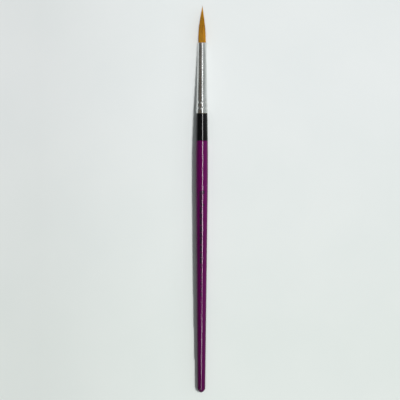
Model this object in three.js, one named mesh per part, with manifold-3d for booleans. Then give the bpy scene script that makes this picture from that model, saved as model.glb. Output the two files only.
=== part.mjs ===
// Fine detail brush: a golden filament tuft in a drawn metal ferrule, on a lacquered wooden handle.
//
// The brush lies along Y with its point at +Y, resting on the belly of its handle at Z = 0.
// All sizes are in millimetres. Every turned piece is a regular prism of revolution with SIDES
// facets, drawn round its true circle, so one facet of each lies flat underneath.

import * as THREE from 'three';
import { mergeVertices } from 'three/addons/utils/BufferGeometryUtils.js';
import Module from 'manifold-3d';

// ---- Driving dimensions ----

const SIDES = 24;

const OVERALL_LENGTH = 185;
const TUFT_LENGTH = 17.8;
const FERRULE_LENGTH = 34.2;
const BLACK_LENGTH = 12.7;

const TIP_Y = OVERALL_LENGTH / 2;
const TAIL_Y = -TIP_Y;
const MOUTH_Y = TIP_Y - TUFT_LENGTH;
const SHOULDER_Y = MOUTH_Y - FERRULE_LENGTH;
const BLACK_END_Y = SHOULDER_Y - BLACK_LENGTH;

// Handle: a short round belly, tapering straight to the shoulder in front and to the tail behind.
const BELLY_RADIUS = 2.915;
const BELLY_FRONT_Y = 20.7;
const BELLY_REAR_Y = 7.4;
const SHOULDER_RADIUS = 2.6;
const TAIL_RADIUS = 1.89;
const NOSE_LENGTH = 1.9;
const NOSE_POWER = 1.5;
const NOSE_STEPS = 5;
const COAT_THICKNESS = 0.12;

// Ferrule: a drawn tube that flares towards the handle, with two rolled crimps near its rear end.
const MOUTH_RADIUS = 2.1;
const REAR_RADIUS = 2.785;
const FLARE_POWER = 1.5;
const WALL = 0.22;
const CRIMP_FROM_REAR = [2.87, 5.7];
const CRIMP_DEPTH = 0.13;
const CRIMP_HALF_WIDTH = 0.8;

// Inside the ferrule, from the handle forwards.
const TENON_LENGTH = 14;
const FILM_THICKNESS = 0.1;
const CEMENT_LENGTH = 7.7;
const SOCKET_DEPTH = 4;
const ROOT_CLEARANCE = 0.05;
const WAIST_RADIUS = 1.6;
const WAIST_FROM_MOUTH = 9.6;
const THREAD_RADIUS = 0.1;
const THREAD_TURNS = 5;
const THREAD_PITCH = 0.24;

// Tuft: nearly parallel at its base, then drawn to a fine point.
const TUFT_RADIUS = 1.84;
const TUFT_TAPER = 0.03;
const POINT_LENGTH = 8.9;
const POINT_RADIUS = 1.3;
const POINT_POWER = 1.05;
const SHOULDER_SHARPNESS = 16;
const HINGE_FROM_MOUTH = 1.25;
const HEEL_RADIUS = 1.8;
const HEEL_CLEARANCE = 0.12;
const OUTER_LOCKS = 12;
const INNER_LOCKS = 6;
const OUTER_LOCK_END = 12;
const INNER_LOCK_END = 15.2;

// Gaps between pieces that touch on the real brush.
const GAP = 0.03;
const END_GAP = 0.3;
const LOCK_GAP = 0.04;

// ---- Materials ----

function material(color, roughness, metalness) {
  return new THREE.MeshStandardMaterial({ color, roughness, metalness });
}

const WOOD = material('#c79a63', 0.7, 0);
const PURPLE = material('#5c1454', 0.3, 0.2);
const BLACK = material('#141417', 0.25, 0);
const METAL = material('#c1c4c1', 0.25, 1);
const GLUE = material('#d9cfa8', 0.5, 0);
const CEMENT = material('#b98d3c', 0.3, 0);
const THREAD = material('#e8e2d2', 0.8, 0);
const FILAMENT = material('#a06522', 0.45, 0);

// ---- Turned pieces ----

// A line of [radius, y] points as LatheGeometry wants it, widened so that the flats, and not the
// corners, of the faceted piece stand at the stated radius.
function turned(points, sides = SIDES) {
  const widening = 1 / Math.cos(Math.PI / sides);
  const profile = points.map(([radius, y]) => new THREE.Vector2(radius * widening, y));
  return new THREE.LatheGeometry(profile, sides, Math.PI / sides);
}

// A closed sleeve between two radius functions, with the same stations on both walls.
function sleeve(inner, outer, stations, sides = SIDES) {
  const outside = stations.map((y) => [outer(y), y]);
  const inside = stations.map((y) => [inner(y), y]).reverse();
  return turned([...outside, ...inside, outside[0]], sides);
}

function steps(from, to, count) {
  return Array.from({ length: count + 1 }, (_, i) => from + ((to - from) * i) / count);
}

function named(name, geometry, finish) {
  const mesh = new THREE.Mesh(geometry, finish);
  mesh.name = name;
  return mesh;
}

// ---- Handle ----

const NOSE_Y = TAIL_Y + NOSE_LENGTH;

function handleRadius(y) {
  if (y >= BELLY_FRONT_Y) {
    const along = (y - BELLY_FRONT_Y) / (SHOULDER_Y - BELLY_FRONT_Y);
    return THREE.MathUtils.lerp(BELLY_RADIUS, SHOULDER_RADIUS, along);
  }
  if (y >= BELLY_REAR_Y) {
    return BELLY_RADIUS;
  }
  const along = (BELLY_REAR_Y - y) / (BELLY_REAR_Y - NOSE_Y);
  return THREE.MathUtils.lerp(BELLY_RADIUS, TAIL_RADIUS, along);
}

// The rounded tail, from its end to where the taper starts, drawn in by inset on every side.
function nosePoints(inset) {
  const radius = TAIL_RADIUS - inset;
  const length = NOSE_LENGTH - inset;
  const points = [];
  for (let i = 0; i < NOSE_STEPS; i += 1) {
    const along = Math.cos((Math.PI / 2) * (i / NOSE_STEPS));
    const across = (1 - along ** NOSE_POWER) ** (1 / NOSE_POWER);
    points.push([radius * across, NOSE_Y - length * along]);
  }
  return points;
}

function purpleCoat() {
  const stations = [NOSE_Y, BELLY_REAR_Y, BELLY_FRONT_Y, BLACK_END_Y];
  const outside = [...nosePoints(0), ...stations.map((y) => [handleRadius(y), y])];
  const inside = stations.map((y) => [handleRadius(y) - COAT_THICKNESS, y]).reverse();
  return turned([...outside, ...inside, ...nosePoints(COAT_THICKNESS).reverse()]);
}

function blackCoat() {
  const stations = steps(BLACK_END_Y + GAP, SHOULDER_Y - GAP, 2);
  return sleeve((y) => handleRadius(y) - COAT_THICKNESS, handleRadius, stations);
}

function woodRadius(y) {
  return handleRadius(y) - COAT_THICKNESS - GAP;
}

function tenonRadius(y) {
  return ferruleInside(y) - FILM_THICKNESS - 2 * GAP;
}

function woodHandle() {
  const handle = [NOSE_Y, BELLY_REAR_Y, BELLY_FRONT_Y, SHOULDER_Y].map((y) => [woodRadius(y), y]);
  const tenon = tenonStations().map((y) => [tenonRadius(y), y]);
  const tail = nosePoints(COAT_THICKNESS + GAP);
  return turned([...tail, ...handle, ...tenon, [0, SHOULDER_Y + TENON_LENGTH]]);
}

// ---- Ferrule ----

function crimpCentres() {
  return CRIMP_FROM_REAR.map((distance) => SHOULDER_Y + distance);
}

function crimpDip(y) {
  let dip = 0;
  for (const centre of crimpCentres()) {
    const offset = Math.abs(y - centre) / CRIMP_HALF_WIDTH;
    if (offset < 1) {
      dip += CRIMP_DEPTH * Math.cos((Math.PI / 2) * offset) ** 2;
    }
  }
  return dip;
}

function ferruleRadius(y) {
  const along = (MOUTH_Y - y) / FERRULE_LENGTH;
  return THREE.MathUtils.lerp(MOUTH_RADIUS, REAR_RADIUS, along ** FLARE_POWER) - crimpDip(y);
}

function ferruleInside(y) {
  return ferruleRadius(y) - WALL;
}

// The stations that each crimp needs: its two edges, its floor and the slopes between them.
function crimpStations() {
  return crimpCentres().flatMap((centre) =>
    steps(centre - CRIMP_HALF_WIDTH, centre + CRIMP_HALF_WIDTH, 4));
}

function ferruleTube() {
  const plain = steps(SHOULDER_Y + 8, MOUTH_Y, 7);
  return sleeve(ferruleInside, ferruleRadius, [SHOULDER_Y, ...crimpStations(), ...plain]);
}

// ---- Joint between handle and ferrule ----

function tenonStations() {
  return [SHOULDER_Y + END_GAP, ...crimpStations(), SHOULDER_Y + TENON_LENGTH];
}

function glueFilm() {
  const stations = tenonStations();
  stations[0] += GAP;
  stations[stations.length - 1] -= GAP;
  return sleeve((y) => tenonRadius(y) + GAP, (y) => ferruleInside(y) - GAP, stations);
}

// ---- Root of the tuft, inside the ferrule ----

const CEMENT_REAR_Y = SHOULDER_Y + TENON_LENGTH + END_GAP;
const CEMENT_FRONT_Y = CEMENT_REAR_Y + CEMENT_LENGTH;
const ROOT_REAR_Y = CEMENT_FRONT_Y - SOCKET_DEPTH + END_GAP;
const WAIST_Y = MOUTH_Y - WAIST_FROM_MOUTH;
const HINGE_Y = MOUTH_Y + HINGE_FROM_MOUTH;

function rootRadius(y) {
  return ferruleInside(y) - ROOT_CLEARANCE;
}

// A plug that fills the ferrule in front of the tenon, with a socket for the ends of the filaments.
function cementPlug() {
  const socketFloor = CEMENT_FRONT_Y - SOCKET_DEPTH;
  const socket = WAIST_RADIUS + ROOT_CLEARANCE;
  const front = ferruleInside(CEMENT_FRONT_Y) - GAP;
  const rear = ferruleInside(CEMENT_REAR_Y) - GAP;
  return turned([
    [0, CEMENT_REAR_Y],
    [rear, CEMENT_REAR_Y],
    [front, CEMENT_FRONT_Y],
    [socket, CEMENT_FRONT_Y],
    [socket, socketFloor],
    [0, socketFloor],
  ]);
}

// The bound filaments, from the cement to the mouth, where a hollow leaves room for the tuft's heel.
function rootBundle() {
  const waistEnd = WAIST_Y + THREAD_TURNS * THREAD_PITCH + END_GAP;
  const hollow = HEEL_RADIUS + HEEL_CLEARANCE;
  const rim = Math.acos(HINGE_FROM_MOUTH / hollow);
  const bowl = steps(rim, 0, 4).map((angle) => [
    hollow * Math.sin(angle),
    HINGE_Y - hollow * Math.cos(angle),
  ]);
  const swell = waistEnd + 1;
  return turned([
    [0, ROOT_REAR_Y],
    [WAIST_RADIUS, ROOT_REAR_Y],
    [WAIST_RADIUS, waistEnd],
    [rootRadius(swell), swell],
    [rootRadius(MOUTH_Y), MOUTH_Y],
    ...bowl,
  ]);
}

class BindingPath extends THREE.Curve {
  getPoint(t, target = new THREE.Vector3()) {
    const angle = 2 * Math.PI * THREAD_TURNS * t;
    const radius = WAIST_RADIUS + THREAD_RADIUS + ROOT_CLEARANCE;
    const y = WAIST_Y + THREAD_PITCH * THREAD_TURNS * t;
    return target.set(radius * Math.sin(angle), y, radius * Math.cos(angle));
  }
}

function bindingThread() {
  const section = new THREE.Shape();
  section.absarc(0, 0, THREAD_RADIUS, 0, 2 * Math.PI);
  return new THREE.ExtrudeGeometry(section, {
    extrudePath: new BindingPath(),
    steps: SIDES * THREAD_TURNS,
    curveSegments: 3,
  });
}

// ---- Tuft ----

// Distance past the mouth to envelope radius: the smaller of a gentle taper and the drawn point,
// with the corner between them rounded off.
function envelope(y) {
  const out = y - MOUTH_Y;
  const base = TUFT_RADIUS - TUFT_TAPER * out;
  const point = POINT_RADIUS * (Math.max(TUFT_LENGTH - out, 0) / POINT_LENGTH) ** POINT_POWER;
  if (point === 0) {
    return 0;
  }
  const n = SHOULDER_SHARPNESS;
  return (base ** -n + point ** -n) ** (-1 / n);
}

// Behind the hinge the tuft is a ball, so that it swings without meeting the ferrule.
function tuftRadius(y) {
  const behind = Math.max(HINGE_Y - y, 0);
  return Math.min(envelope(y), Math.sqrt(Math.max(HEEL_RADIUS ** 2 - behind ** 2, 0)));
}

function heelStart(radius) {
  return HINGE_Y - Math.sqrt(HEEL_RADIUS ** 2 - radius ** 2);
}

// A straight boundary between layers of filaments, from the mouth to where the envelope cuts it.
function layerBoundary(shareAtMouth, end) {
  const atMouth = TUFT_RADIUS * shareAtMouth;
  const atEnd = envelope(MOUTH_Y + end) - LOCK_GAP;
  return (y) => THREE.MathUtils.lerp(atMouth, atEnd, (y - MOUTH_Y) / end);
}

const outerBoundary = layerBoundary(0.62, OUTER_LOCK_END);
const innerBoundary = layerBoundary(0.27, INNER_LOCK_END);

// A ring of filaments between inner and outer walls, from the heel to the layer's end.
function layerRing(inner, outer, end) {
  const start = heelStart(inner(MOUTH_Y) + 2 * LOCK_GAP);
  const heel = steps(start, HINGE_Y, 3);
  const free = steps(HINGE_Y, MOUTH_Y + end, 8).slice(1);
  return sleeve(inner, outer, [...heel, ...free]);
}

// The middle of the tuft: the crown of the heel behind, and the very point in front.
function coreLock() {
  const wall = (y) => Math.min(innerBoundary(y) - LOCK_GAP, envelope(y));
  const crownAngle = Math.asin(wall(MOUTH_Y) / HEEL_RADIUS);
  const crown = steps(0, crownAngle, 2).map((angle) => [
    HEEL_RADIUS * Math.sin(angle),
    HINGE_Y - HEEL_RADIUS * Math.cos(angle),
  ]);
  const stations = [...steps(MOUTH_Y, MOUTH_Y + INNER_LOCK_END, 6), TIP_Y - 1.3, TIP_Y - 0.6];
  return turned([...crown, ...stations.map((y) => [wall(y), y]), [0, TIP_Y]], SIDES / 2);
}

// ---- Cutting a ring into locks ----

const wasm = await Module();
wasm.setup();

function toSolid(geometry) {
  geometry.deleteAttribute('normal');
  geometry.deleteAttribute('uv');
  const merged = mergeVertices(geometry);
  return new wasm.Manifold(new wasm.Mesh({
    numProp: 3,
    vertProperties: merged.attributes.position.array,
    triVerts: new Uint32Array(merged.index.array),
  }));
}

function toGeometry(solid) {
  const { vertProperties, triVerts } = solid.getMesh();
  const geometry = new THREE.BufferGeometry();
  geometry.setAttribute('position', new THREE.BufferAttribute(vertProperties, 3));
  geometry.setIndex(new THREE.BufferAttribute(triVerts, 1));
  geometry.computeVertexNormals();
  return geometry;
}

// A wedge along the whole tuft whose sides stand half a gap inside the lock's share of the circle.
function wedge(centreAngle, spread) {
  const reach = 2 * TUFT_RADIUS;
  const apex = LOCK_GAP / 2 / Math.sin(spread / 2);
  const side = reach * Math.tan(spread / 2);
  const outline = new THREE.Shape();
  outline.moveTo(apex, 0);
  outline.lineTo(apex + reach, -side);
  outline.lineTo(apex + reach, side);
  outline.closePath();
  const prism = new THREE.ExtrudeGeometry(outline, { depth: 2 * TUFT_LENGTH, bevelEnabled: false });
  prism.rotateX(-Math.PI / 2);
  prism.rotateY(centreAngle);
  prism.translate(0, MOUTH_Y - TUFT_LENGTH / 2, 0);
  return toSolid(prism);
}

function locks(prefix, ring, count) {
  const solid = toSolid(ring);
  const spread = (2 * Math.PI) / count;
  return Array.from({ length: count }, (_, i) => {
    const piece = solid.intersect(wedge((i + 0.5) * spread, spread));
    const number = String(i + 1).padStart(2, '0');
    return named(`${prefix}_${number}`, toGeometry(piece), FILAMENT);
  });
}

function outerRing() {
  return layerRing(outerBoundary, tuftRadius, OUTER_LOCK_END);
}

function innerRing() {
  const outside = (y) => Math.min(outerBoundary(y) - LOCK_GAP, tuftRadius(y));
  return layerRing(innerBoundary, outside, INNER_LOCK_END);
}

// ---- Assembly ----

function fixedPieces() {
  return [
    named('wood_handle', woodHandle(), WOOD),
    named('purple_lacquer', purpleCoat(), PURPLE),
    named('black_lacquer', blackCoat(), BLACK),
    named('ferrule', ferruleTube(), METAL),
    named('tenon_glue', glueFilm(), GLUE),
    named('root_cement', cementPlug(), CEMENT),
    named('binding_thread', bindingThread(), THREAD),
    named('root_bundle', rootBundle(), FILAMENT),
  ];
}

function tuftPieces() {
  return [
    named('core_lock', coreLock(), FILAMENT),
    ...locks('inner_lock', innerRing(), INNER_LOCKS),
    ...locks('outer_lock', outerRing(), OUTER_LOCKS),
  ];
}

const brush = new THREE.Group();
brush.position.z = BELLY_RADIUS;
brush.add(...fixedPieces(), ...tuftPieces());

export default brush;
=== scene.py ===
"""Looks of the fine detail brush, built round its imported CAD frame.

The brush lies along Y with its point at +Y. Every length is in metres. Lengths and radii come from
the frame's nodes where they can be read there, and otherwise are the named values below.
"""

import math

import bpy
import numpy as np
from mathutils import Matrix, Vector


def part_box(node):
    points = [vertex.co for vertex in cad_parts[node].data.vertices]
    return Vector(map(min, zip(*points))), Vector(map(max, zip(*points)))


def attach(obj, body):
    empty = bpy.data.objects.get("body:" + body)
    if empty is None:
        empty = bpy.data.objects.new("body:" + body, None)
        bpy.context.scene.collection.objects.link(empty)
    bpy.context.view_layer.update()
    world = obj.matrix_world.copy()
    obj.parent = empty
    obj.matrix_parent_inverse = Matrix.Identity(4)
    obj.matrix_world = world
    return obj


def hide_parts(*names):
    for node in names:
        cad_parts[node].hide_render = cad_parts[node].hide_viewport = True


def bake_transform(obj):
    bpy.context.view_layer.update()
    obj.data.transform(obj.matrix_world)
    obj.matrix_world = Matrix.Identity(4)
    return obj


MM = 0.001
SEED = 11

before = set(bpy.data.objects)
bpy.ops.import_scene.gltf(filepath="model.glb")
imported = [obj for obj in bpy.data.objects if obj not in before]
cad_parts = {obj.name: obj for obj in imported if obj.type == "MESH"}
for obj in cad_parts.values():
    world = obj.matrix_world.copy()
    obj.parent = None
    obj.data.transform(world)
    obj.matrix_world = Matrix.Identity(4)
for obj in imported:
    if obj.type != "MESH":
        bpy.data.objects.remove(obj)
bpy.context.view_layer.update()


# ---------------------------------------------------------------- sizes

# From the frame.
TAIL_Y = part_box("purple_lacquer")[0][1]
BLACK_REAR_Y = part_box("black_lacquer")[0][1]
FERRULE_REAR_Y, MOUTH_Y = (corner[1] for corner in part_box("ferrule"))
TIP_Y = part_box("core_lock")[1][1]
BELLY_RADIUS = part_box("purple_lacquer")[1][0]
FERRULE_REAR_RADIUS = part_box("ferrule")[1][0]
AXIS_Z = BELLY_RADIUS
LENGTH = TIP_Y - TAIL_Y
TUFT_LENGTH = TIP_Y - MOUTH_Y
ROOT_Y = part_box("root_bundle")[0][1]
THREAD_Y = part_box("binding_thread")[1][1]

# Handle outline. The lacquer stands a hair proud of the CAD.
BELLY_FRONT_Y = 20.7 * MM
BELLY_REAR_Y = 7.4 * MM
SHOULDER_RADIUS = 2.6 * MM
TAIL_RADIUS = 1.89 * MM
NOSE_LENGTH = 1.9 * MM
NOSE_POWER = 1.5
CORNER_EASE = 2 * MM
COAT_PROUD = 0.06 * MM
COAT_THICKNESS = 0.12 * MM
COAT_INSIDE = COAT_PROUD + COAT_THICKNESS

# Black band. It stands a hair proud of the purple, and rounds down into the ferrule.
BLACK_PROUD = 0.015 * MM
BLACK_EDGE = 0.06 * MM
BLACK_CLEARANCE = 0.03 * MM
SHOULDER_ROUND = 0.5 * MM

# Ferrule outline. Its crimps are placed by how far they are from the CAD's rear edge.
MOUTH_RADIUS = 2.1 * MM
FLARE_POWER = 1.5
WALL = 0.22 * MM
REAR_GAP = 0.5 * MM
LIP_LENGTH = 0.15 * MM
CRIMP_FROM_REAR = (2.87 * MM, 5.7 * MM)
CRIMP_DEPTH = 0.16 * MM
CRIMP_HALF_WIDTH = 0.8 * MM
CRIMPED_LENGTH = 8 * MM
CRIMP_TEETH = 14
TOOTH_DEPTH = 0.15

# Tuft outline.
TUFT_RADIUS = 1.84 * MM
TUFT_TAPER = 0.03
POINT_LENGTH = 8.9 * MM
POINT_RADIUS = 1.38 * MM
POINT_POWER = 0.95
SHOULDER_SHARPNESS = 16
LEAN_AT_TIP = 0.13 * MM
LEAN_BACK = 0.1 * MM

# Filaments.
FILAMENT_COUNT = 1150
FILAMENT_RADIUS = 0.052 * MM
FILAMENT_SIDES = 5
FREE_STATIONS = 18
FULL_TUFT = 6 * MM
GOLDEN_ANGLE = math.pi * (3 - math.sqrt(5))
STRAY_ANGLE = 0.25
STRAY_LENGTH = 0.12 * MM
WANDER_ANGLE = 0.036
WAVE_HEIGHT = 0.02 * MM
WAVE_LENGTH = 3 * MM
WAVY_FROM_RADIUS = 0.3 * MM
WAIST_FROM_MOUTH = 5 * MM
WAIST_LENGTH = 3 * MM
WAIST_PULL = 0.14
TAPER_RATE = 2.2
TAPER_LEAST = 0.25
TAPER_POWER = 0.8

# Print. Angles are in degrees round the handle, from its top to the right.
INK_LIFT = 0.004 * MM
INK_THICKNESS = 0.008 * MM
BLOCK_REAR_Y, BLOCK_FRONT_Y = -3.2 * MM, 3.9 * MM
BLOCK_GAP = 0.4 * MM
BAR_ANGLES = ((-20, -10), (-7, 3))
CROSSBAR_ANGLES = (6, 27)
REAR_CROSSBAR, FRONT_CROSSBAR = 0.8 * MM, 1.4 * MM
DASH_ANGLES = (-20, 3)
DASHES = ((3.0 * MM, 0.35 * MM), (2.2 * MM, 0.35 * MM), (2.8 * MM, 0.6 * MM)) * 3
SMALL_DASH_ANGLES = (-10, 1)
SMALL_DASHES = ((1.8 * MM, 0.8 * MM),) * 6

# Floor. Its painted shade, darker to the left and towards the tail, ends well before the horizon.
FLOOR_REACH = 6.0
PAINTED_SHADE_X = (-0.078, -0.016)
PAINTED_SHADE_Y = (-0.07, 0.05)
PAINTED_SHADE_FADE_OUT = (0.14, 0.4)

# Key light. Angles are in degrees to the right of straight up.
KEY_FLUX = 2.17
KEY_DEGREES = 26.5
KEY_TAIL_DEGREES = 17
KEY_TUFT_DEGREES = 14
KEY_WIDTH_DEGREES = 7.5
KEY_FRONT_WIDTH_DEGREES = 16
KEY_LEVEL_Y = (-30 * MM, 20 * MM)
KEY_UPRIGHT_Y = 78 * MM

# Lamps that only shine in gloss. The far ones stand beyond the point and beyond the tail.
STRIP_HEIGHT = 1.35
STRIP_WIDTH = 0.17
FERRULE_STRIP_WIDTH = 0.2
FAR_FRONT = ((-0.5, 0.95, 1.1), (0.7, 0.95, 1.1))
FAR_REAR = ((-0.7, -1.0, 1.0), (0.5, -1.0, 1.0))
FAR_WIDTH = 0.4
FAR_RADIANCE = 16
FAR_FERRULE_RADIANCE = 1.3

# Room, a little brighter to the right, and a dark card that only the gloss sees.
ROOM_STRENGTH = 0.3
ROOM_TILT = 0.22
ROOM_COLOUR = (0.93, 1.0, 1.0, 1)
BACKDROP_COLOUR = (0.785, 0.83, 0.82, 1)
CARD_FROM_DEGREES = 11.5
CARD_TO_DEGREES = 67
CARD_HEIGHT = 0.7
CARD_REACH = 0.26

# Camera, straight above the brush.
VIEW_WIDTH = LENGTH * 1.0335
CAMERA_HEIGHT = 1.2
SENSOR_WIDTH = 36
AIM_X = -0.803 * MM
AIM_Y = -0.50 * MM
ROLL_DEGREES = 0.14
CLIP_END = 50


# ---------------------------------------------------------------- mesh tools


def new_object(name, vertices, faces, sharp_degrees=35):
    mesh = bpy.data.meshes.new(name)
    mesh.from_pydata(np.asarray(vertices).reshape(-1, 3).tolist(), [], faces)
    mesh.validate()
    mesh.shade_smooth()
    mesh.set_sharp_from_angle(angle=math.radians(sharp_degrees))
    piece = bpy.data.objects.new(name, mesh)
    bpy.context.scene.collection.objects.link(piece)
    return piece


def lathe(name, outline, sides=128, relief=None):
    """Turns a closed (radius, y) outline round the brush's axis. relief(y, angle) is how far a point
    is moved out. An outline that starts and ends on the axis has its two end points there."""
    outline = np.asarray(outline, float)
    on_axis = outline[0, 0] == 0
    rows = outline[1:-1] if on_axis else outline
    angles = np.arange(sides) * (2 * math.pi / sides)
    radius = np.repeat(rows[:, :1], sides, axis=1)
    along = np.repeat(rows[:, 1:], sides, axis=1)
    around = np.repeat(angles[None, :], len(rows), axis=0)
    if relief:
        radius = radius + relief(along, around)
    points = np.stack([radius * np.sin(around), along, AXIS_Z + radius * np.cos(around)], axis=-1)
    vertices = points.reshape(-1, 3).tolist()
    count = len(rows)
    spans = range(count - 1) if on_axis else range(count)
    faces = []
    for i in spans:
        here, there = i * sides, (i + 1) % count * sides
        for j in range(sides):
            k = (j + 1) % sides
            faces.append((here + j, here + k, there + k, there + j))
    if on_axis:
        first, last = len(vertices), len(vertices) + 1
        vertices += [(0, outline[0, 1], AXIS_Z), (0, outline[-1, 1], AXIS_Z)]
        end = (count - 1) * sides
        for j in range(sides):
            k = (j + 1) % sides
            faces.append((first, k, j))
            faces.append((last, end + j, end + k))
    return new_object(name, vertices, faces)


def tubes(name, centres, radii, sides):
    """One mesh of many closed tubes. centres is (tube, station, 3) and radii (tube, station)."""
    count, stations, _ = centres.shape
    turn = np.arange(sides) * (2 * math.pi / sides)
    spokes = np.stack([np.sin(turn), np.zeros(sides), np.cos(turn)], axis=-1)
    vertices = centres[:, :, None, :] + radii[:, :, None, None] * spokes
    ring = np.arange(sides)
    following = (ring + 1) % sides
    walls = []
    for station in range(stations - 1):
        low = station * sides
        high = low + sides
        walls.append(np.stack([low + ring, low + following, high + following, high + ring], axis=-1))
    walls = np.concatenate(walls)
    starts = np.arange(count) * stations * sides
    faces = (starts[:, None, None] + walls).reshape(-1, 4).tolist()
    root_cap = ring[::-1]
    tip_cap = ring + (stations - 1) * sides
    faces += (starts[:, None] + root_cap).tolist()
    faces += (starts[:, None] + tip_cap).tolist()
    return new_object(name, vertices, faces, sharp_degrees=80)


def soft_min(a, b, sharpness):
    """The smaller of a and b, with the corner between them rounded off."""
    return a * (1 + (a / b) ** sharpness) ** (-1 / sharpness)


# ---------------------------------------------------------------- outlines


def eased_ramp(distance):
    """0 before 0 and distance after it, with the corner eased."""
    return (distance + np.sqrt(distance**2 + CORNER_EASE**2)) / 2


def handle_radius(y):
    """A level belly with a straight taper each way."""
    front_slope = (BELLY_RADIUS - SHOULDER_RADIUS) / (FERRULE_REAR_Y - BELLY_FRONT_Y)
    rear_slope = (BELLY_RADIUS - TAIL_RADIUS) / (BELLY_REAR_Y - TAIL_Y - NOSE_LENGTH)
    front = front_slope * eased_ramp(y - BELLY_FRONT_Y)
    rear = rear_slope * eased_ramp(BELLY_REAR_Y - y)
    return BELLY_RADIUS + COAT_PROUD - front - rear


def nose(inset, rows=18):
    """The rounded tail, from its end on the axis to where the taper starts."""
    turn = np.linspace(0, math.pi / 2, rows)[:-1]
    along = np.cos(turn)
    across = (1 - along**NOSE_POWER) ** (1 / NOSE_POWER)
    radius = (TAIL_RADIUS + COAT_PROUD - inset) * across
    y = TAIL_Y + NOSE_LENGTH - (NOSE_LENGTH - inset) * along
    return np.stack([radius, y], axis=-1)


def rounded_edge(distance, length, depth):
    """How far a rounded edge drops at a distance from its end: depth at 0, nothing from length on."""
    inward = 1 - np.clip(distance / length, 0, 1)
    return depth * (1 - np.sqrt(1 - inward**2))


def crimp_shape(y):
    """0 away from the crimps and 1 at the bottom of each."""
    shape = np.zeros_like(y)
    for from_rear in CRIMP_FROM_REAR:
        offset = np.abs(y - FERRULE_REAR_Y - from_rear) / CRIMP_HALF_WIDTH
        shape += np.where(offset < 1, np.cos(math.pi / 2 * np.minimum(offset, 1)) ** 2, 0)
    return shape


def crimps(y, angle):
    teeth = 1 - TOOTH_DEPTH + TOOTH_DEPTH * np.cos(CRIMP_TEETH * angle)
    return -CRIMP_DEPTH * crimp_shape(y) * teeth


def ferrule_radius(y):
    along = (MOUTH_Y - y) / (MOUTH_Y - FERRULE_REAR_Y)
    return MOUTH_RADIUS + (FERRULE_REAR_RADIUS - MOUTH_RADIUS) * along**FLARE_POWER


def tuft_radius(out):
    """Envelope of the tuft, out metres past the mouth."""
    base = TUFT_RADIUS - TUFT_TAPER * out
    point = POINT_RADIUS * (np.maximum(TUFT_LENGTH - out, 1e-7) / POINT_LENGTH) ** POINT_POWER
    return soft_min(base, point, SHOULDER_SHARPNESS)


def filament_share(out):
    """Share of the filaments that reach out metres past the mouth."""
    return np.clip(tuft_radius(out) / tuft_radius(FULL_TUFT), 0, 1)


# ---------------------------------------------------------------- coats and ferrule


def purple_coat():
    y = np.linspace(TAIL_Y + NOSE_LENGTH, BLACK_REAR_Y, 100)
    outside = np.stack([handle_radius(y), y], axis=-1)
    inside = np.stack([handle_radius(y) - COAT_INSIDE, y], axis=-1)[::-1]
    outline = np.concatenate([nose(0), outside, inside, nose(COAT_INSIDE)[::-1]])
    return lathe("purple_coat", outline)


def black_coat():
    front = FERRULE_REAR_Y + REAR_GAP - BLACK_CLEARANCE
    near_rear = np.linspace(BLACK_REAR_Y, BLACK_REAR_Y + BLACK_EDGE, 6)
    middle = np.linspace(BLACK_REAR_Y + 2 * BLACK_EDGE, front - SHOULDER_ROUND, 40)
    near_front = front - SHOULDER_ROUND * np.linspace(0.95, 0, 14) ** 1.5
    y = np.concatenate([near_rear, middle, near_front])
    drop = rounded_edge(y - BLACK_REAR_Y, BLACK_EDGE, BLACK_EDGE)
    drop = drop + rounded_edge(front - y, SHOULDER_ROUND, COAT_THICKNESS)
    outside = np.stack([handle_radius(y) + BLACK_PROUD - drop, y], axis=-1)
    inside = np.stack([handle_radius(y) - COAT_INSIDE, y], axis=-1)[::-1]
    return lathe("black_band", np.concatenate([outside, inside]))


def ferrule_tube():
    """Drawn tube, its rear edge cut square and its mouth edge rounded."""
    lip_y = MOUTH_Y - LIP_LENGTH
    crimped_end = FERRULE_REAR_Y + CRIMPED_LENGTH
    crimped = np.linspace(FERRULE_REAR_Y + REAR_GAP, crimped_end - 0.1 * MM, 90)
    plain = np.linspace(crimped_end, lip_y, 40)
    y = np.concatenate([crimped, plain])
    outside = np.stack([ferrule_radius(y), y], axis=-1)
    inside = np.stack([ferrule_radius(y) - WALL, y], axis=-1)[::-1]
    half = WALL / 2
    turn = np.linspace(0, math.pi, 9)[1:-1]
    lip = np.stack([MOUTH_RADIUS - half + half * np.cos(turn), lip_y + half * np.sin(turn)], axis=-1)
    return lathe("ferrule_tube", np.concatenate([outside, lip, inside]), 168, crimps)


# ---------------------------------------------------------------- tuft


def filament_ends(rank, rng):
    """How far past the mouth each filament ends. The envelope narrows as filaments end, so each
    goes as far as there is room for its rank."""
    out = np.linspace(0, TUFT_LENGTH, 400)
    ends = np.interp(rank, filament_share(out)[::-1], out[::-1])
    return np.minimum(ends + rng.normal(0, STRAY_LENGTH, FILAMENT_COUNT), TUFT_LENGTH)


def filament_stations(ends):
    """Places along each filament, as distances past the mouth: three inside the ferrule first."""
    inside = np.array([ROOT_Y - MOUTH_Y, THREAD_Y - MOUTH_Y, -WAIST_FROM_MOUTH])
    outside = ends[:, None] * np.linspace(0, 1, FREE_STATIONS)[None, :]
    return np.concatenate([np.repeat(inside[None, :], FILAMENT_COUNT, axis=0), outside], axis=1)


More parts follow.
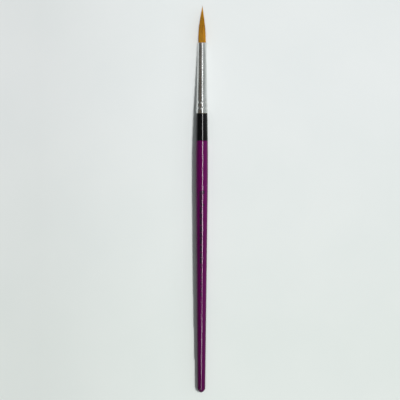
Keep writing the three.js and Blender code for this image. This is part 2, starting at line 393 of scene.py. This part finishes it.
def filament_centres(rank, angle, along, rng):
    """The filaments are packed evenly across the envelope, with a waist where the thread binds them.
    Each wanders and waves a little, and the tuft as a whole leans."""
    free = np.maximum(along, 0)
    waist = 1 - WAIST_PULL * np.clip((-along - WAIST_FROM_MOUTH) / WAIST_LENGTH, 0, 1)
    spread = np.sqrt(np.minimum(rank / filament_share(free), 1))
    radius = (tuft_radius(free) * waist - FILAMENT_RADIUS) * spread
    wander = rng.normal(0, WANDER_ANGLE, (FILAMENT_COUNT, 1)) * np.sin(free / TUFT_LENGTH * math.pi)
    around = angle + wander
    phase = rng.uniform(0, 2 * math.pi, (FILAMENT_COUNT, 1))
    wave = WAVE_HEIGHT * np.sin(free / WAVE_LENGTH + phase)
    radius = np.maximum(radius + wave * (free > 0) * (radius > WAVY_FROM_RADIUS), 0)
    lean = LEAN_AT_TIP * free / TUFT_LENGTH - LEAN_BACK * np.sin(math.pi * free / TUFT_LENGTH)
    across = radius * np.sin(around) + lean
    return np.stack([across, MOUTH_Y + along, AXIS_Z + radius * np.cos(around)], axis=-1)


def filaments():
    """Every filament runs unbroken from the cement through the ferrule to its own end."""
    rng = np.random.default_rng(SEED)
    index = np.arange(FILAMENT_COUNT) + 0.5
    rank = index / FILAMENT_COUNT
    angle = index * GOLDEN_ANGLE + rng.normal(0, STRAY_ANGLE, FILAMENT_COUNT)
    ends = filament_ends(rank, rng)
    along = filament_stations(ends)
    centres = filament_centres(rank[:, None], angle[:, None], along, rng)
    free = np.maximum(along, 0)
    left = 1 - free / np.maximum(ends[:, None], 1e-6)
    radii = FILAMENT_RADIUS * np.clip(left * TAPER_RATE, TAPER_LEAST, 1) ** TAPER_POWER
    tuft = tubes("tuft_filaments", centres, radii, FILAMENT_SIDES)
    tone = np.repeat(rng.uniform(0, 1, FILAMENT_COUNT), along.shape[1] * FILAMENT_SIDES)
    reach = np.repeat((free / TUFT_LENGTH).reshape(-1), FILAMENT_SIDES)
    for name, values in (("tone", tone), ("reach", reach)):
        tuft.data.attributes.new(name, "FLOAT", "POINT").data.foreach_set("value", values)
    return tuft


# ---------------------------------------------------------------- print


def mark_spans():
    """Low and high angle and rear and front end of each mark: an open block of two bars and two
    crossbars, then a column of dashes, then a narrower one."""
    rear, front = BLOCK_REAR_Y, BLOCK_FRONT_Y
    spans = [(*angles, rear, front) for angles in BAR_ANGLES]
    spans.append((*CROSSBAR_ANGLES, front - FRONT_CROSSBAR, front))
    spans.append((*CROSSBAR_ANGLES, rear, rear + REAR_CROSSBAR))
    y = rear - BLOCK_GAP
    for angles, dashes in ((DASH_ANGLES, DASHES), (SMALL_DASH_ANGLES, SMALL_DASHES)):
        for length, gap in dashes:
            spans.append((*angles, y - length, y))
            y -= length + gap
    return spans


def ink_sheet(low, high, rear, front):
    """Vertices and faces of one mark, a thin closed sheet that follows the lacquer."""
    rows = 6
    columns = max(2, round((high - low) / 3) + 1)
    angles = np.radians(np.linspace(low, high, columns))
    vertices = []
    for layer in (INK_LIFT, INK_LIFT + INK_THICKNESS):
        for y in np.linspace(rear, front, rows):
            r = handle_radius(y) + layer
            vertices += [(r * math.sin(a), y, AXIS_Z + r * math.cos(a)) for a in angles]
    top = rows * columns
    faces = []
    for i in range(rows - 1):
        for j in range(columns - 1):
            a = i * columns + j
            bottom = (a, a + 1, a + columns + 1, a + columns)
            faces.append(bottom)
            faces.append(tuple(v + top for v in reversed(bottom)))
    rim = list(range(columns))
    rim += [i * columns + columns - 1 for i in range(1, rows)]
    rim += [(rows - 1) * columns + j for j in range(columns - 2, -1, -1)]
    rim += [i * columns for i in range(rows - 2, 0, -1)]
    for a, b in zip(rim, rim[1:] + rim[:1]):
        faces.append((b, a, a + top, b + top))
    return vertices, faces


def printed_marks():
    """Plain bars and dashes of dark ink, laid on the lacquer."""
    vertices, faces = [], []
    for span in mark_spans():
        sheet_vertices, sheet_faces = ink_sheet(*span)
        start = len(vertices)
        vertices += sheet_vertices
        faces += [tuple(start + v for v in face) for face in sheet_faces]
    return new_object("printed_marks", vertices, faces)


# ---------------------------------------------------------------- materials


class Shader:
    """A principled material, and short calls to hang procedural nodes on it. A keyword is a socket's
    name, with _ for a space."""

    def __init__(self, name, **sockets):
        self.material = bpy.data.materials.new(name)
        self.material.use_nodes = True
        self.nodes = self.material.node_tree.nodes
        self.links = self.material.node_tree.links
        self.surface = self.nodes["Principled BSDF"]
        for socket, value in sockets.items():
            self.surface.inputs[socket.replace("_", " ")].default_value = value
        self.place = self.nodes.new("ShaderNodeTexCoord").outputs["Object"]

    def add(self, kind, settings=None, **sockets):
        node = self.nodes.new(kind)
        for name, value in (settings or {}).items():
            setattr(node, name, value)
        for name, value in sockets.items():
            socket = node.inputs[name.replace("_", " ")]
            if isinstance(value, bpy.types.NodeSocket):
                self.links.new(value, socket)
            else:
                socket.default_value = value
        return node

    def noise(self, stretch, detail=3):
        placed = self.add("ShaderNodeMapping", Vector=self.place, Scale=stretch)
        noise = self.add("ShaderNodeTexNoise", Vector=placed.outputs[0], Scale=1, Detail=detail)
        return noise.outputs["Fac"]

    def attribute(self, name):
        return self.add("ShaderNodeAttribute", {"attribute_name": name}).outputs["Fac"]

    def map_range(self, value, start, end, low=0, high=1):
        """low up to start and high from end on, and even between them."""
        return self.add(
            "ShaderNodeMapRange", Value=value, From_Min=start, From_Max=end, To_Min=low, To_Max=high
        ).outputs[0]

    def along(self, axis, start, end, high=1):
        """0 up to start and high from end on, along one axis of the brush."""
        parts = self.add("ShaderNodeSeparateXYZ", Vector=self.place)
        return self.map_range(parts.outputs[axis], start, end, 0, high)

    def ramp(self, factor, low, high, start=0.35, end=0.65):
        """Two colours, or two greys, over a stretch of factor."""
        node = self.add("ShaderNodeValToRGB", Fac=factor)
        first, last = node.color_ramp.elements
        first.position, last.position = start, end
        first.color = low if isinstance(low, tuple) else (low, low, low, 1)
        last.color = high if isinstance(high, tuple) else (high, high, high, 1)
        return node.outputs["Color"]

    def mix(self, factor, a, b, how="MIX"):
        settings = {"data_type": "RGBA", "blend_type": how}
        return self.add("ShaderNodeMix", settings, Factor=factor, A=a, B=b).outputs["Result"]

    def drive(self, socket, value):
        self.links.new(value, self.surface.inputs[socket])

    def bump(self, height, distance, socket="Normal"):
        self.drive(socket, self.add("ShaderNodeBump", Height=height, Distance=distance).outputs[0])


def lacquer(name, light, dark, at_tail=1.0):
    """Colour under a clear coat, with faint flow and a little orange peel. at_tail is what the colour
    is multiplied by at the tail; the colour darkens evenly from the belly to there."""
    shader = Shader(
        name,
        Specular_IOR_Level=0.0,
        Coat_Weight=1.0,
        Coat_Roughness=0.07,
        Coat_IOR=1.25,
    )
    flow = shader.noise((260, 30, 260), detail=4)
    fine = shader.noise((900, 500, 900), detail=2)
    peel = shader.noise((1400, 300, 1400), detail=2)
    # The colour darkens evenly from the belly to the tail, down to at_tail there.
    depth = shader.ramp(shader.along("Y", TAIL_Y, BELLY_REAR_Y), at_tail, 1.0, 0, 1)
    colour = shader.mix(1, shader.ramp(flow, dark, light), depth, "MULTIPLY")
    shader.drive("Base Color", colour)
    shader.drive("Roughness", shader.ramp(fine, 0.32, 0.45))
    shader.bump(peel, 0.001 * MM, "Coat Normal")
    return shader.material


def plated_metal():
    """Bright plating, drawn lengthwise, a little tarnished and more worn towards the mouth."""
    shader = Shader("plated_metal", Metallic=1.0)
    streaks = shader.noise((6000, 90, 6000), detail=3)
    tarnish = shader.noise((400, 120, 400), detail=4)
    dull, bright = (0.6, 0.6, 0.585, 1), (0.74, 0.745, 0.735, 1)
    shader.drive("Base Color", shader.ramp(tarnish, dull, bright))
    rough = shader.add("ShaderNodeMath", {"operation": "ADD"})
    shader.links.new(shader.ramp(streaks, 0.1, 0.17), rough.inputs[0])
    shader.links.new(shader.along("Y", FERRULE_REAR_Y, MOUTH_Y, 0.17), rough.inputs[1])
    shader.drive("Roughness", rough.outputs[0])
    shader.bump(streaks, 0.002 * MM)
    return shader.material


def filament_material():
    """Golden filaments, each of its own tone, and all lighter towards the point."""
    shader = Shader("golden_filament", Roughness=0.45, Specular_IOR_Level=0.15)
    tone = shader.attribute("tone")
    body = shader.ramp(tone, (0.42, 0.16, 0.001, 1), (0.6, 0.305, 0.005, 1), 0, 1)
    tip = shader.ramp(tone, (0.5, 0.2, 0.001, 1), (0.68, 0.35, 0.005, 1), 0, 1)
    near_tip = shader.ramp(shader.attribute("reach"), 0.0, 1.0, 0.45, 0.9)
    shader.drive("Base Color", shader.mix(near_tip, body, tip))
    return shader.material


def wood_material():
    shader = Shader("turned_wood", Specular_IOR_Level=0.3)
    grain = shader.noise((900, 22, 900), detail=6)
    pores = shader.noise((3500, 160, 3500), detail=3)
    dark, light = (0.42, 0.2, 0.07, 1), (0.68, 0.42, 0.19, 1)
    shader.drive("Base Color", shader.ramp(grain, dark, light))
    shader.drive("Roughness", shader.ramp(pores, 0.55, 0.8))
    shader.bump(pores, 0.02 * MM)
    return shader.material


def resin_material(name, light, dark, roughness):
    shader = Shader(name, Roughness=roughness)
    cloud = shader.noise((700, 700, 700), detail=5)
    shader.drive("Base Color", shader.ramp(cloud, dark, light))
    shader.bump(cloud, 0.03 * MM)
    return shader.material


def thread_material():
    shader = Shader("linen_thread", Roughness=0.85)
    twist = shader.noise((5000, 9000, 5000), detail=2)
    dark, light = (0.6, 0.55, 0.44, 1), (0.84, 0.8, 0.7, 1)
    shader.drive("Base Color", shader.ramp(twist, dark, light))
    shader.bump(twist, 0.02 * MM)
    return shader.material


def ink_material():
    """Dark ink, thinner in places, under less of a clear coat than the lacquer."""
    shader = Shader(
        "dark_ink",
        Specular_IOR_Level=0.0,
        Coat_Weight=0.5,
        Coat_Roughness=0.07,
        Coat_IOR=1.3,
    )
    wear = shader.noise((2500, 2500, 2500), detail=4)
    dark, light = (0.012, 0.005, 0.014, 1), (0.03, 0.012, 0.032, 1)
    shader.drive("Base Color", shader.ramp(wear, dark, light, 0.2, 0.8))
    shader.drive("Roughness", shader.ramp(wear, 0.4, 0.6))
    return shader.material


def board_material():
    """Plain pale board, with painted shade: a little darker to the left and towards the tail, near the
    brush only.
    """
    shader = Shader("pale_board", Roughness=0.75, Specular_IOR_Level=0.2)
    mottle = shader.noise((25, 25, 25), detail=5)
    colour = shader.ramp(mottle, (0.815, 0.84, 0.835, 1), (0.835, 0.855, 0.85, 1))
    distance = shader.add("ShaderNodeVectorMath", {"operation": "LENGTH"})
    shader.links.new(shader.place, distance.inputs[0])
    near = shader.map_range(distance.outputs["Value"], *PAINTED_SHADE_FADE_OUT, 1, 0)
    # Painted shade: darker to the left of the brush and towards its tail, fading to plain board away
    # from the brush.
    left, rear, white = (0.9, 0.895, 0.895, 1), (0.945, 0.965, 0.935, 1), (1, 1, 1, 1)
    for axis, fade, shade in (("X", PAINTED_SHADE_X, left), ("Y", PAINTED_SHADE_Y, rear)):
        painted_shade = shader.ramp(shader.along(axis, *fade), shade, white, 0, 1)
        colour = shader.mix(near, colour, painted_shade, "MULTIPLY")
    shader.drive("Base Color", colour)
    return shader.material


def paint(piece, material):
    piece.data.materials.clear()
    piece.data.materials.append(material)


# ---------------------------------------------------------------- assembly

purple = purple_coat()
paint(
    purple,
    lacquer("purple_lacquer", (0.115, 0.0012, 0.082, 1), (0.097, 0.0008, 0.067, 1), at_tail=0.66),
)
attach(purple, "brush")
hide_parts("purple_lacquer")

black = black_coat()
paint(black, lacquer("black_lacquer", (0.005, 0.005, 0.006, 1), (0.003, 0.003, 0.0035, 1)))
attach(black, "brush")
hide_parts("black_lacquer")

ferrule = ferrule_tube()
paint(ferrule, plated_metal())
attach(ferrule, "brush")
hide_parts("ferrule")

marks = printed_marks()
paint(marks, ink_material())
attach(marks, "brush")

LOCK_NODES = [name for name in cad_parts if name.endswith("lock") or "_lock_" in name]
tuft = filaments()
paint(tuft, filament_material())
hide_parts("root_bundle", *LOCK_NODES)
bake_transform(tuft)

HIDDEN = {
    "wood_handle": wood_material(),
    "tenon_glue": resin_material("wood_glue", (0.7, 0.62, 0.4, 1), (0.5, 0.42, 0.22, 1), 0.5),
    "root_cement": resin_material("cement", (0.5, 0.27, 0.05, 1), (0.32, 0.15, 0.02, 1), 0.25),
    "binding_thread": thread_material(),
}
for node, material in HIDDEN.items():
    paint(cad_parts[node], material)


# ---------------------------------------------------------------- floor and key light


def key_direction(y):
    """How far right the key light stands and how wide it is, in degrees. It stands furthest right
    by the belly, less by the tail and upright by the tuft, where it is also softest."""
    rear, front = KEY_LEVEL_Y
    to_tail = min(max((rear - y) / (rear - TAIL_Y), 0), 1)
    to_tuft = min(max((y - front) / (KEY_UPRIGHT_Y - front), 0), 1)
    degrees = KEY_DEGREES * (1 - to_tuft**2) - (KEY_DEGREES - KEY_TAIL_DEGREES) * to_tail**2
    width = KEY_WIDTH_DEGREES + (KEY_FRONT_WIDTH_DEGREES - KEY_WIDTH_DEGREES) * to_tuft
    return degrees, width


def band_edges():
    rear, front = KEY_LEVEL_Y
    to_tail = np.linspace(TAIL_Y, rear, 5)
    to_tuft = np.linspace(front, KEY_UPRIGHT_Y, 13)
    return [-FLOOR_REACH, *to_tail, *to_tuft, FLOOR_REACH]


def lit_by(light, pieces):
    """Lets a light reach these pieces only."""
    group = bpy.data.collections.new(light.name + "_reach")
    for piece in pieces:
        group.objects.link(piece)
    light.light_linking.receiver_collection = group


def new_light(data):
    light = bpy.data.objects.new(data.name, data)
    bpy.context.scene.collection.objects.link(light)
    return light


def key_light(name, degrees, width, pieces):
    """A sun as bright on the floor at any angle, which doesn't shine in gloss."""
    data = bpy.data.lights.new(name, "SUN")
    data.energy = KEY_FLUX / math.cos(math.radians(degrees))
    data.angle = math.radians(width)
    light = new_light(data)
    light.rotation_euler = (0, math.radians(degrees), 0)
    light.visible_glossy = False
    lit_by(light, pieces)


def floor_and_key():
    """The floor in bands across the brush, each with its own key light, so the shadow narrows
    smoothly towards the tuft. The bands join without a seam and are equally bright."""
    board = board_material()
    edges = band_edges()
    reach = FLOOR_REACH
    for number, (rear, front) in enumerate(zip(edges, edges[1:])):
        corners = [(-reach, rear, 0), (reach, rear, 0), (reach, front, 0), (-reach, front, 0)]
        band = new_object(f"floor_{number:02}", corners, [(0, 1, 2, 3)])
        paint(band, board)
        middle = min(max((rear + front) / 2, TAIL_Y), KEY_UPRIGHT_Y)
        key_light(f"key_{number:02}", *key_direction(middle), [band])
    handle = [purple, black, marks, *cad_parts.values()]
    key_light("key_handle", KEY_DEGREES, KEY_WIDTH_DEGREES, handle)
    key_light("key_ferrule", *key_direction((MOUTH_Y + FERRULE_REAR_Y) / 2), [ferrule])
    key_light("key_tuft", KEY_TUFT_DEGREES, KEY_FRONT_WIDTH_DEGREES, [tuft])


# ---------------------------------------------------------------- gloss lamps, room and camera


def strip_light(name, rear, front, width, radiance, pieces):
    """A long narrow lamp from rear to front, two points above the brush, which only shines in gloss."""
    rear, front = Vector(rear), Vector(front)
    middle = (rear + front) / 2
    along = (front - rear).normalized()
    away = (middle - along * middle.dot(along)).normalized()
    data = bpy.data.lights.new(name, "AREA")
    data.shape = "RECTANGLE"
    data.size, data.size_y = width, (front - rear).length
    data.energy = radiance * math.pi * data.size * data.size_y
    light = new_light(data)
    turn = Matrix((along.cross(away), along, away)).transposed()
    light.matrix_world = Matrix.Translation(middle) @ turn.to_4x4()
    light.visible_diffuse = False
    lit_by(light, pieces)


def over(degrees, y):
    """The point at the strips' height that stands so many degrees to the right of straight up."""
    return (STRIP_HEIGHT * math.tan(math.radians(degrees)), y, STRIP_HEIGHT)


def gloss_lamps():
    """Strips along the brush, which make its long highlights, and lamps beyond both its ends, which
    give it some gloss from the side."""
    coated = [purple, black, marks, tuft]
    strips = (
        ("strip_front", over(19, -0.10), over(11, 0.30), STRIP_WIDTH, 52, coated),
        ("strip_middle", over(12, -0.124), over(18, -0.10), STRIP_WIDTH, 31, coated),
        ("strip_rear", over(1, -0.55), over(3, -0.158), STRIP_WIDTH, 34, coated),
        ("strip_ferrule", over(17, -0.45), over(7, 0.85), FERRULE_STRIP_WIDTH, 3.6, [ferrule]),
    )
    for strip in strips:
        strip_light(*strip)
    for name, ends in (("far_front", FAR_FRONT), ("far_rear", FAR_REAR)):
        strip_light(name, *ends, FAR_WIDTH, FAR_RADIANCE, coated)
        strip_light(name + "_ferrule", *ends, FAR_WIDTH, FAR_FERRULE_RADIANCE, [ferrule])


def room():
    """Soft light from all round. The camera sees a plain backdrop of the floor's colour instead."""
    world = bpy.data.worlds.new("room")
    bpy.context.scene.world = world
    world.use_nodes = True
    nodes, links = world.node_tree.nodes, world.node_tree.links
    glow = nodes["Background"]
    glow.inputs["Color"].default_value = ROOM_COLOUR
    direction = nodes.new("ShaderNodeTexCoord")
    parts = nodes.new("ShaderNodeSeparateXYZ")
    strength = nodes.new("ShaderNodeMath")
    strength.operation = "MULTIPLY_ADD"
    strength.inputs[1].default_value = ROOM_TILT
    strength.inputs[2].default_value = ROOM_STRENGTH
    backdrop = nodes.new("ShaderNodeBackground")
    backdrop.inputs["Color"].default_value = BACKDROP_COLOUR
    path = nodes.new("ShaderNodeLightPath")
    mix = nodes.new("ShaderNodeMixShader")
    links.new(direction.outputs["Generated"], parts.inputs[0])
    links.new(parts.outputs["X"], strength.inputs[0])
    links.new(strength.outputs[0], glow.inputs["Strength"])
    links.new(path.outputs["Is Camera Ray"], mix.inputs[0])
    links.new(glow.outputs[0], mix.inputs[1])
    links.new(backdrop.outputs[0], mix.inputs[2])
    links.new(mix.outputs[0], nodes["World Output"].inputs["Surface"])


def dark_card():
    """A dim brown board above and to the left, which the ferrule mirrors as its dark stripe."""
    near = -CARD_HEIGHT * math.tan(math.radians(CARD_FROM_DEGREES))
    far = -CARD_HEIGHT * math.tan(math.radians(CARD_TO_DEGREES))
    corners = [(far, -CARD_REACH), (near, -CARD_REACH), (near, CARD_REACH), (far, CARD_REACH)]
    card = new_object("dark_card", [(x, y, CARD_HEIGHT) for x, y in corners], [(0, 1, 2, 3)])
    shader = Shader(
        "dark_board",
        Base_Color=(0, 0, 0, 1),
        Emission_Color=(1, 0.75, 0.55, 1),
        Emission_Strength=0.1,
    )
    paint(card, shader.material)
    card.visible_camera = False
    card.visible_diffuse = False
    card.visible_shadow = False


def camera():
    data = bpy.data.cameras.new("camera")
    data.sensor_width = SENSOR_WIDTH
    data.lens = SENSOR_WIDTH * (CAMERA_HEIGHT - AXIS_Z) / VIEW_WIDTH
    data.clip_end = CLIP_END
    piece = bpy.data.objects.new("camera", data)
    bpy.context.scene.collection.objects.link(piece)
    piece.location = (AIM_X, AIM_Y, CAMERA_HEIGHT)
    piece.rotation_euler = (0, 0, math.radians(ROLL_DEGREES))
    bpy.context.scene.camera = piece


floor_and_key()
gloss_lamps()
room()
dark_card()
camera()
bpy.context.scene.view_settings.view_transform = "Standard"
